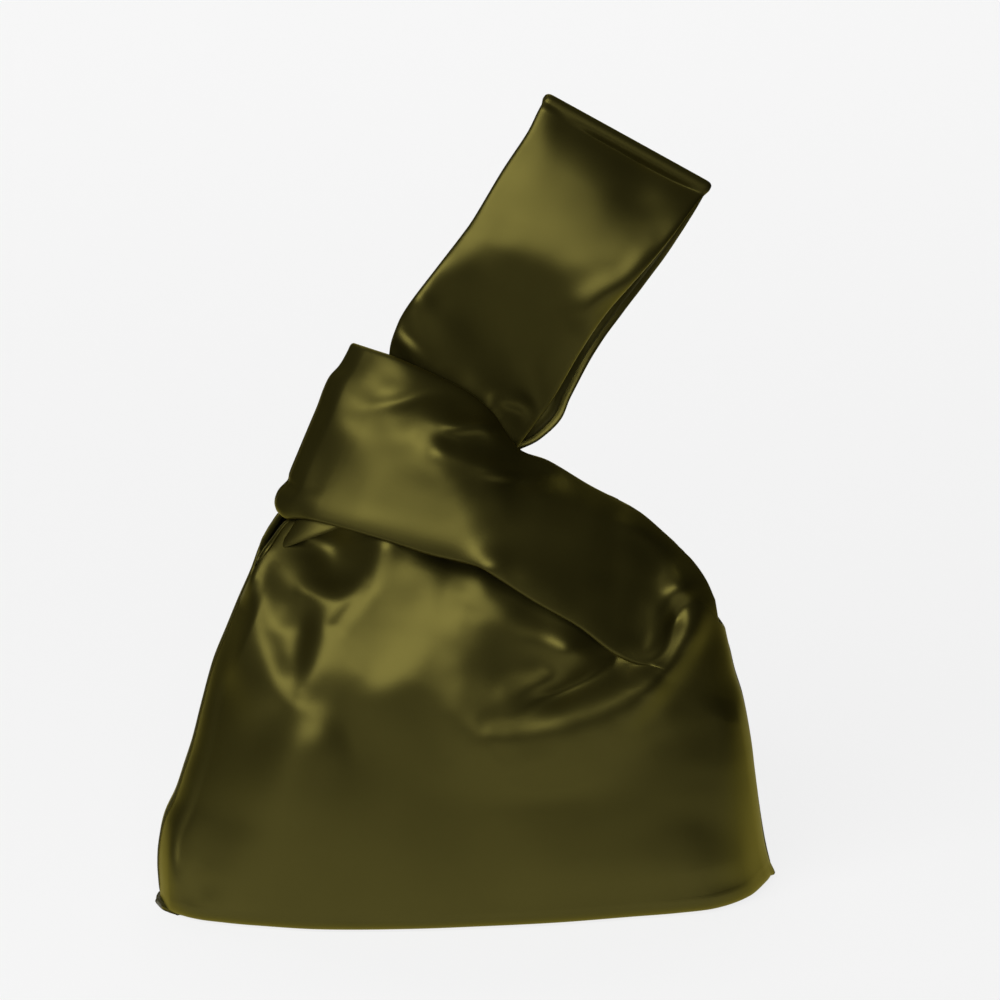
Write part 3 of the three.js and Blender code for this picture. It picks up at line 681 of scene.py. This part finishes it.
# ---------------------------------------------------------------- strap loop
# its lower and upper edge in the photograph: (place from the left fold to the right, x, y)
BAND_LOWER = [(0, 281, 513), (0.04, 288, 519), (0.08, 300, 519), (0.13, 315, 521), (0.2, 345, 529),
              (0.3, 386, 541), (0.4, 430, 555), (0.5, 478, 567), (0.55, 500, 580), (0.62, 534, 602),
              (0.7, 578, 627), (0.76, 612, 653), (0.8, 632, 663), (0.835, 653, 667), (0.9, 686, 680),
              (1, 730, 694)]
BAND_UPPER = [(0, 354, 343), (0.04, 363, 346), (0.08, 375, 350), (0.13, 390, 355), (0.2, 409, 363),
              (0.3, 437, 376), (0.4, 468, 392), (0.47, 492, 413), (0.52, 508, 436), (0.56, 521, 451),
              (0.62, 548, 461), (0.7, 590, 486), (0.78, 636, 510), (0.84, 664, 533), (0.9, 690, 558),
              (0.95, 705, 578), (1, 714, 598)]
SLIT_END = 0.80     # the loop's lower edge is free of the pouch up to this place


def band_grid(cols=320, rows=150, rounds=6):
    """Front half of the strap loop: columns from the left fold to the right, rows from the lower edge up."""
    t = np.linspace(0, 1, cols)
    t = t * 0.75 + 0.25 * t * t
    s = np.linspace(0, 1, rows)
    lower, upper = table(BAND_LOWER)(t), table(BAND_UPPER)(t)
    q = lower[None] + (upper - lower)[None] * s[:, None, None]
    tt, ss = np.meshgrid(t, s)
    # the pressed fold at the left isn't straight: it has a notch near its top and a small curl at its foot
    wander = hermite([0, 0.05, 0.11, 0.17, 0.22, 0.35, 0.5, 0.62, 0.72, 0.8, 0.86, 0.93, 1],
                     [-1, -7, -8, -3, -4.5, -5, -5.5, -6, -7.5, -7, -2.5, -0.5, 0])(ss)
    q[..., 0] += wander * (1 - smooth(0.0, 0.14, tt))
    merge = smooth(SLIT_END - 0.10, SLIT_END + 0.07, tt)
    # how far the loop's lower edge stands off the pouch
    gap = hermite([0, 0.1, 0.3, 0.5, 0.66, 0.76, 0.8, 0.85, 1], [2, 3, 4, 6, 10, 6, 1.5, 0.4, 0])(tt) * MM
    # the loop rounds off to nothing at the left fold, its upper edge over a longer stretch than its lower one
    bow = arch(1 - np.clip(tt / 0.5, 0, 1), 2.4)
    shut = arch(1 - np.clip(tt / 0.24, 0, 1), 2.2)
    # depth of its upper edge
    near_top = hermite([0, 0.1, 0.2, 0.45, 0.56, 0.7, 0.86, 1], [8, 14, 16, 14, 12, 11, 8, 3])(tt) * MM
    # where the loop runs out into the pouch, it thins until its face is level with the pouch's and slips under
    under = np.clip(smooth(0.80, 0.86, tt) * (1 - smooth(0.05, 0.35, ss)) + smooth(0.86, 0.96, tt), 0, 1)
    thin = 1 - 0.18 * smooth(0.76, 0.84, tt) - 0.42 * under
    # depth and place depend on each other, so both are found in a few rounds
    low = np.full(cols, 0.03)
    for _ in range(rounds):
        edge = world(lower, -low)
        low = blurred(pouch_depth(edge[..., 0], edge[..., 2]) + gap[0], 14)
    y = np.full((rows, cols), -0.03)
    swell = np.power(np.clip(1 - np.power(ss, 2.4), 0, 1), 0.75)
    free = near_top * bow * (1 - swell) + low[None] * swell * shut
    for _ in range(rounds):
        p = world(q, y)
        pouch = pouch_depth(p[..., 0], p[..., 2]) + gap * (1 - ss) * bow
        y = -(free + (pouch - free) * merge)
    return world(q, y), tt, ss, thin


# ---------------------------------------------------------------- handle
# its left and right edge in the photograph: (place from the knot to the top, x, y)
HANDLE_LEFT = [(0, 384, 392), (0.07, 389, 356), (0.12, 391, 343), (0.16, 395, 331), (0.2, 401, 317),
               (0.26, 412, 300), (0.36, 435, 270), (0.48, 462, 235), (0.56, 474, 218), (0.7, 502, 171),
               (0.84, 527, 133), (0.94, 538, 111), (1, 544, 100)]
HANDLE_RIGHT = [(0, 496, 486), (0.07, 512, 456), (0.12, 522, 441), (0.2, 543, 413), (0.26, 557, 392),
                (0.36, 580, 352), (0.48, 605, 315), (0.6, 630, 286), (0.72, 653, 260), (0.84, 674, 234),
                (0.94, 698, 202), (1, 709, 191)]
ALONG = np.array([0.5373, 0.0, 0.8434])     # up the handle, and across it
ACROSS = np.array([0.8434, 0.0, -0.5373])


def handle_strips(rows=220, cols=120):
    """The front strip, drawn through its outline, and the back strip, shifted to show beside it."""
    r, s = np.linspace(0, 1, rows), np.linspace(0, 1, cols)
    left, right = table(HANDLE_LEFT)(r), table(HANDLE_RIGHT)(r)
    q = left[:, None] + (right - left)[:, None] * s[None, :, None]
    bulge = hermite([0, 0.12, 0.25, 0.38, 0.5, 0.65, 0.8, 0.92, 1],
                    [3, 4, 8, 13, 14.2, 11.5, 7, 3.2, 2.2])(r)[:, None] * MM
    strip = world(q, -(bulge * (0.72 + 0.28 * np.sqrt(np.clip(1 - (2 * s - 1) ** 2, 0, 1))[None])))
    # folds end at the top crease, and the foot is sunk behind the loop
    hold = (1 - smooth(0.95, 1.0, r))[:, None]
    sunk = 4.5 * (1 - smooth(0.12, 0.42, r))[:, None]
    front = displaced(strip, sampled(HANDLE, screen(strip)) * hold - sunk)
    back = strip * MIRROR
    shift = hermite([0, 0.05, 0.09, 0.14, 0.2, 0.26, 0.4, 0.5, 0.7, 0.9, 1],
                    [1.0, 1.2, 2.6, 7.2, 10.0, 9.0, 10.5, 11, 7.5, 3, 0])(r) * MM
    back += ACROSS * shift[:, None, None]
    # pleats where the back strip leaves the knot
    pleat = smooth(0.06, 0.14, r) * (1 - smooth(0.2, 0.42, r))
    back[..., 1] += MM * pleat[:, None] * (np.sin(30 * s * s + 12 * s) * smooth(0.6, 0.85, s))[None]
    return front, back


# ---------------------------------------------------------------- build
POUCH_LINING = 0.5 * OUTER + 0.5 * INNER + 0.0003   # from the middle of a cloth to the middle of its lining
STRAP_LINING = 0.5 * STRAP + 0.5 * INNER + 0.0002
STRAP_SEAM = 0.0042     # depth of the loop's pressed seam inside its left fold
TURN = 0.0022           # how far the cloth rounds out at the handle's top fold
SIGHT = 0.27            # how far the line of sight falls over a distance of 1

for name, sign, folds in (("front", -1, front_folds), ("back", 1, back_folds)):
    grid, _ = pouch_grid(sign)
    # the cloth stands on the floor with its lower face
    grid = grid + np.array([0.0, 0.0, 0.5 * OUTER]) * (1 - smooth(0.0, 0.02, grid[..., 2]))[..., None]
    grid = folds(grid)
    cloth("pouch_%s_cloth" % name, grid, OUTER, OLIVE, edge=(0, 1, 0, 0), uv_size=(0.29, 0.27))
    cloth("pouch_%s_lining_cloth" % name, inset(grid, -sign * POUCH_LINING, 2), INNER, LINING,
          edge=(0, 1, 0, 0), uv_size=(0.28, 0.26), rounding=2)

front, tt, ss, thin = band_grid()
q = screen(front)
f = sampled(SHARED, q) * smooth(0.45, 0.62, tt) + sampled(BAND, q) * (1 - smooth(0.74, 0.85, tt))
# the upper rim is evened out
even = smooth(0.86, 1.0, ss)
f = f * (1 - even) + np.array([blurred(row, 10) for row in f]) * even
back = front * MIRROR
front = displaced(front, f * smooth(0.0, 0.06, tt))
# the back half's rim hangs below the line of sight over the front's, and its right end is clear of the pouch
back[..., 2] -= (SIGHT * 2 * np.abs(back[..., 1])) * np.power(ss, 4) + MM * np.power(ss, 4)
clear = pouch_depth(back[..., 0], back[..., 2]) + MM * (1 - smooth(0.86, 0.96, tt))
back[..., 1] += np.maximum(clear - back[..., 1], 0) * smooth(0.66, 0.76, tt)
loop = np.concatenate([back[:, :0:-1], front], axis=1)
cloth("knot_loop_cloth", loop, STRAP, OLIVE, edge=(1, 1, 0, 0), uv_size=(0.5, 0.09),
      thin=np.concatenate([thin[:, :0:-1], thin], axis=1))
cloth("knot_loop_lining_cloth", inset(loop, STRAP_LINING, 2)[2:-2], INNER, LINING, edge=(1, 1, 0, 0),
      uv_size=(0.5, 0.086), rounding=2)
seam_lip("knot_loop_seam_cloth", inset(loop, STRAP_SEAM)[6:-6, loop.shape[1] // 2], (-1.0, 0.0, 0.0),
         wide=0.0022, proud=0.0008)

front, back = handle_strips()
mid, arm = 0.5 * (front[-1] + back[-1]), 0.5 * (front[-1] - back[-1])
turn = [mid + arm * math.cos(a) + ALONG * TURN * math.sin(a) for a in np.linspace(0, math.pi, 9)[1:-1]]
cloth("handle_cloth", np.concatenate([front, np.array(turn), back[::-1]], axis=0), STRAP, OLIVE,
      edge=(0, 0, 1, 1), uv_size=(0.082, 0.3))
for name, strip, deep in (("front", front, STRAP_LINING), ("back", back, -STRAP_LINING)):
    cloth("handle_%s_lining_cloth" % name, inset(strip, deep)[:-8:2, 2:-2:2], INNER, LINING,
          edge=(0, 1, 1, 1), uv_size=(0.078, 0.145), rounding=2)
seam_lip("handle_seam_cloth", mid[4:-4] - ALONG * 0.0012, ALONG, wide=0.0007, proud=0.0016)

for name, edge_x, out, top in (("left", left_x, -1.0, 0.136), ("right", right_x, 1.0, 0.105)):
    z = np.linspace(0.004, top, 120)
    seam_lip("side_seam_%s_cloth" % name, np.stack([edge_x(z) + out * 0.0002, np.zeros_like(z), z], -1),
             (out, 0.0, 0.0), wide=0.0011, proud=0.0010)
x = np.linspace(-0.126, 0.126, 90)
seam_lip("base_seam_cloth", np.stack([x, np.zeros_like(x), np.full_like(x, 0.0006)], -1), (0.0, 0.0, -1.0),
         wide=0.0012, proud=0.0005)

# the neck, hidden inside the knot: from the pouch's rim up to the handle's foot, in small gathers
NECK_COLS, NECK_ROWS = 90, 50
NECK_FOOT = -6          # the row of the pouch that it starts from, just under the rim
for name, sign in (("front", -1), ("back", 1)):
    g, p = pouch_grid(sign, cols=160, wall=60)
    pick = np.linspace(0.02, 0.62, NECK_COLS)
    low = np.stack([np.interp(pick, p, g[NECK_FOOT, :, k]) for k in range(3)], -1)
    low[:, 1] *= 0.93   # inside the pouch's cloth
    top = world(np.stack([np.linspace(386, 500, NECK_COLS), np.linspace(380, 470, NECK_COLS)], -1),
                np.full(NECK_COLS, sign * 0.0045))
    rows = []
    for v in np.linspace(0, 1, NECK_ROWS):
        line = low + (top - low) * v
        line[:, 1] = low[:, 1] + (top[:, 1] - low[:, 1]) * smooth(0, 1, v)
        line[:, 1] += sign * 0.0012 * np.sin(np.linspace(0, 30, NECK_COLS)) * math.sin(math.pi * v)
        rows.append(line)
    cloth("neck_%s_cloth" % name, np.array(rows), OUTER, OLIVE, edge=(1, 1, 1, 1), uv_size=(0.16, 0.07))

# bodies and the solids that each piece stands for
for w in ("front", "back"):
    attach(pieces["pouch_%s_cloth" % w], "pouch")
    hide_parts("pouch_%s_outer" % w)
    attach(pieces["pouch_%s_lining_cloth" % w], "pouch")
    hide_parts("pouch_%s_lining" % w)
    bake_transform(pieces["neck_%s_cloth" % w])
    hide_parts("neck_%s" % w)
for w in ("side_seam_left", "side_seam_right", "base_seam"):
    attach(pieces[w + "_cloth"], "pouch")
    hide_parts(w)
for w in ("cloth", "lining_cloth"):
    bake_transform(pieces["knot_loop_" + w])
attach(pieces["knot_loop_seam_cloth"], "knot_loop")
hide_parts("shoulder_front_outer", "shoulder_back_outer", "knot_loop_front_outer",
            "knot_loop_back_outer")
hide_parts("shoulder_front_lining", "shoulder_back_lining",
            "knot_loop_front_lining", "knot_loop_back_lining")
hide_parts("knot_loop_seam")
for w in ("handle_cloth", "handle_front_lining_cloth", "handle_back_lining_cloth"):
    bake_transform(pieces[w])
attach(pieces["handle_seam_cloth"], "handle_loop")
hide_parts("handle_throat_front", "handle_throat_back", "handle_front_outer",
            "handle_back_outer")
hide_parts("handle_front_lining")
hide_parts("handle_back_lining")
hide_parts("handle_seam")


# ---------------------------------------------------------------- stage
# PALE is the ground's own tone; SHADE is the grey of its painted shade in front and at the sides
PALE, SHADE = (0.93, 0.93, 0.93, 1), (0.07, 0.07, 0.07, 1)
OWN = 0.85      # how much of the ground's paleness is its own, seen directly or in a reflection
GROUND, FAR, HIGH = -0.0004, 3, 2.5


def pale_ground():
    """A pale matt ground. It is pale where the picture shows it; in front and at the sides it falls to grey,
    painted shade that stands in for a set with dark flags."""
    mat, fill, add = node_material("pale_ground")
    nodes = mat.node_tree.nodes

    def maths(kind, *values):
        return add("Math", dict(enumerate(values)), operation=kind)["Value"]

    def fall(value, start, end):
        return add("MapRange", {"From Min": start, "From Max": end, "Value": value},
                   interpolation_type="SMOOTHSTEP")["Result"]

    split = add("SeparateXYZ", {"Vector": add("TexCoord", {})["Object"]})

    def part(direction):
        return maths("ADD", *(maths("MULTIPLY", split[k], float(direction[k])) for k in (0, 1)))

    deep = part(FWD_H)
    wide = maths("SUBTRACT", maths("ABSOLUTE", part(RIGHT)), maths("MULTIPLY", deep, 0.09))
    # painted shade: the ground's tone falls to grey in front and at the sides, in its colour and its glow alike
    dim = maths("MAXIMUM", fall(wide, 0.24, 0.5), fall(maths("MULTIPLY", deep, -1.0), 0.185, 0.27))
    tone = add("Mix", {"A": PALE, "B": SHADE, "Factor": dim}, data_type="RGBA")["Result"]
    bsdf = nodes["Principled BSDF"]
    fill(bsdf, {"Base Color": tone, "Roughness": 0.9, "Specular IOR Level": 0.1})
    glow = add("Emission", {"Color": tone, "Strength": 1.03})["Emission"]
    rays = add("LightPath", {})
    seen = maths("MAXIMUM", rays["Is Camera Ray"], rays["Is Glossy Ray"])
    seen = maths("MULTIPLY", maths("MAXIMUM", seen, rays["Is Transmission Ray"]), OWN)
    mixed = add("MixShader", {"Fac": seen, 1: bsdf.outputs["BSDF"], 2: glow})["Shader"]
    fill(nodes["Material Output"], {"Surface": mixed})
    return mat


pale = pale_ground()
for name, corners in (
        ("floor", [(-FAR, -FAR, GROUND), (FAR, -FAR, GROUND), (FAR, FAR, GROUND), (-FAR, FAR, GROUND)]),
        ("backdrop", [(-FAR, FAR, -0.1), (FAR, FAR, -0.1), (FAR, FAR, HIGH), (-FAR, FAR, HIGH)])):
    mesh = bpy.data.meshes.new(name)
    mesh.from_pydata(corners, [], [(0, 1, 2, 3)])
    mesh.update()
    mesh.materials.append(pale)
    put(name, mesh)

for name, place, aim, size, power in (
        ("key", (-0.69, -1.35, 0.97), (0, 0, 0.15), (1.9, 1.2), 35),
        ("backdrop_wash", (0, 1.6, 2.6), (0, 3, 1.0), (3.0, 1.0), 60)):
    lamp = bpy.data.lights.new(name, "AREA")
    lamp.shape = "RECTANGLE"
    lamp.size, lamp.size_y = size
    lamp.energy = power
    ob = put(name, lamp)
    ob.location = place
    ob.rotation_euler = (Vector(aim) - Vector(place)).to_track_quat("-Z", "Y").to_euler()

sky = bpy.data.worlds.new("world")
sky.use_nodes = True
sky.node_tree.nodes["Background"].inputs["Color"].default_value = (0.02, 0.02, 0.02, 1)
bpy.context.scene.world = sky
bpy.context.scene.view_settings.view_transform = "Standard"
make_camera()
